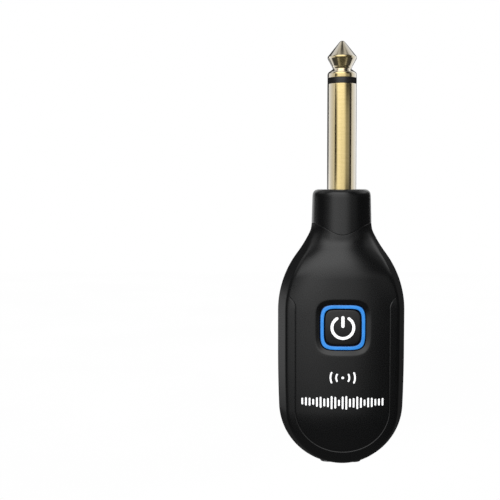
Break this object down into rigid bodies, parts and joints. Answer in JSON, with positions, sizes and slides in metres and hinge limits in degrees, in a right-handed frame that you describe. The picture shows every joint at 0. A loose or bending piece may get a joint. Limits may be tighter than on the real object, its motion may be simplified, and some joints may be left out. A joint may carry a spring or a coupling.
{
  "type": "wireless guitar transmitter",
  "caption": "Rounded black plug-in transmitter with a fixed gold quarter-inch jack plug, a tapered collar and a square lit power button.",
  "frame": {"origin": "on the plug's axis, in the plane of the collar's top face, which seats against the guitar's jack", "axes": "+Z along the plug towards its tip, -Y out of the front face with the button, +X to the right seen from the front"},
  "size_m": [0.0278, 0.0174, 0.0926],
  "materials": {
    "case_black": "fine satin moulded",
    "button_black": "satin moulded",
    "icon_white": "translucent white",
    "ring_blue": "translucent, lit blue",
    "plug_gold": "polished gold plate",
    "plug_black": "turned black plastic",
    "insulation_white": "smooth",
    "steel": "rolled",
    "screw_black": "black oxide",
    "tinned_metal": "tinned",
    "board_green": "solder mask",
    "board_tan": "laminate",
    "chip_black": "moulded epoxy",
    "battery_foil": "laminated foil",
    "foam_grey": "closed-cell foam tape",
    "wire_red": "extruded insulation",
    "wire_black": "extruded insulation"
  },
  "bodies": {
    "root": {"front_shell": "case_black", "rear_shell": "case_black", "collar": "case_black", "plug_tip": "plug_gold", "plug_insulating_ring": "plug_black", "plug_sleeve": "plug_gold", "plug_insulating_tube": "insulation_white", "plug_nut": "steel", "ground_lug": "tinned_metal", "tip_washer": "board_tan", "tip_lug": "tinned_metal", "light_ring": "ring_blue", "switch_base": "chip_black", "switch_cover": "steel", "switch_dome": "steel", "main_board": "board_green", "rf_shield": "tinned_metal", "chip_antenna": "insulation_white", "codec_chip": "chip_black", "charger_chip": "chip_black", "crystal": "tinned_metal", "inductor": "chip_black", "capacitors": "board_tan", "resistors": "chip_black", "ring_leds": "insulation_white", "icon_leds": "insulation_white", "usb_shell": "steel", "usb_tongue": "chip_black", "battery_cell": "battery_foil", "battery_tab_board": "board_tan", "battery_foam": "foam_grey", "battery_lead_positive": "wire_red", "battery_lead_negative": "wire_black", "plug_lead_tip": "insulation_white", "plug_lead_ground": "wire_black", "case_screws": "screw_black"},
    "button": {"button_cap": "button_black", "power_icon": "icon_white"},
    "plunger": {"switch_plunger": "chip_black"}
  },
  "joints": [
    {"name": "button_press", "type": "slide", "parent": "root", "child": "button", "axis": [0, 1, 0], "range_m": [0, 0.0003], "stiffness_N_per_m": 2500, "springref_m": -0.0003},
    {"name": "plunger_press", "type": "slide", "parent": "root", "child": "plunger", "axis": [0, 1, 0], "range_m": [0, 0.0003]}
  ],
  "couplings": [
    {"joint": "plunger_press", "follows": "button_press", "ratio": 1}
  ]
}
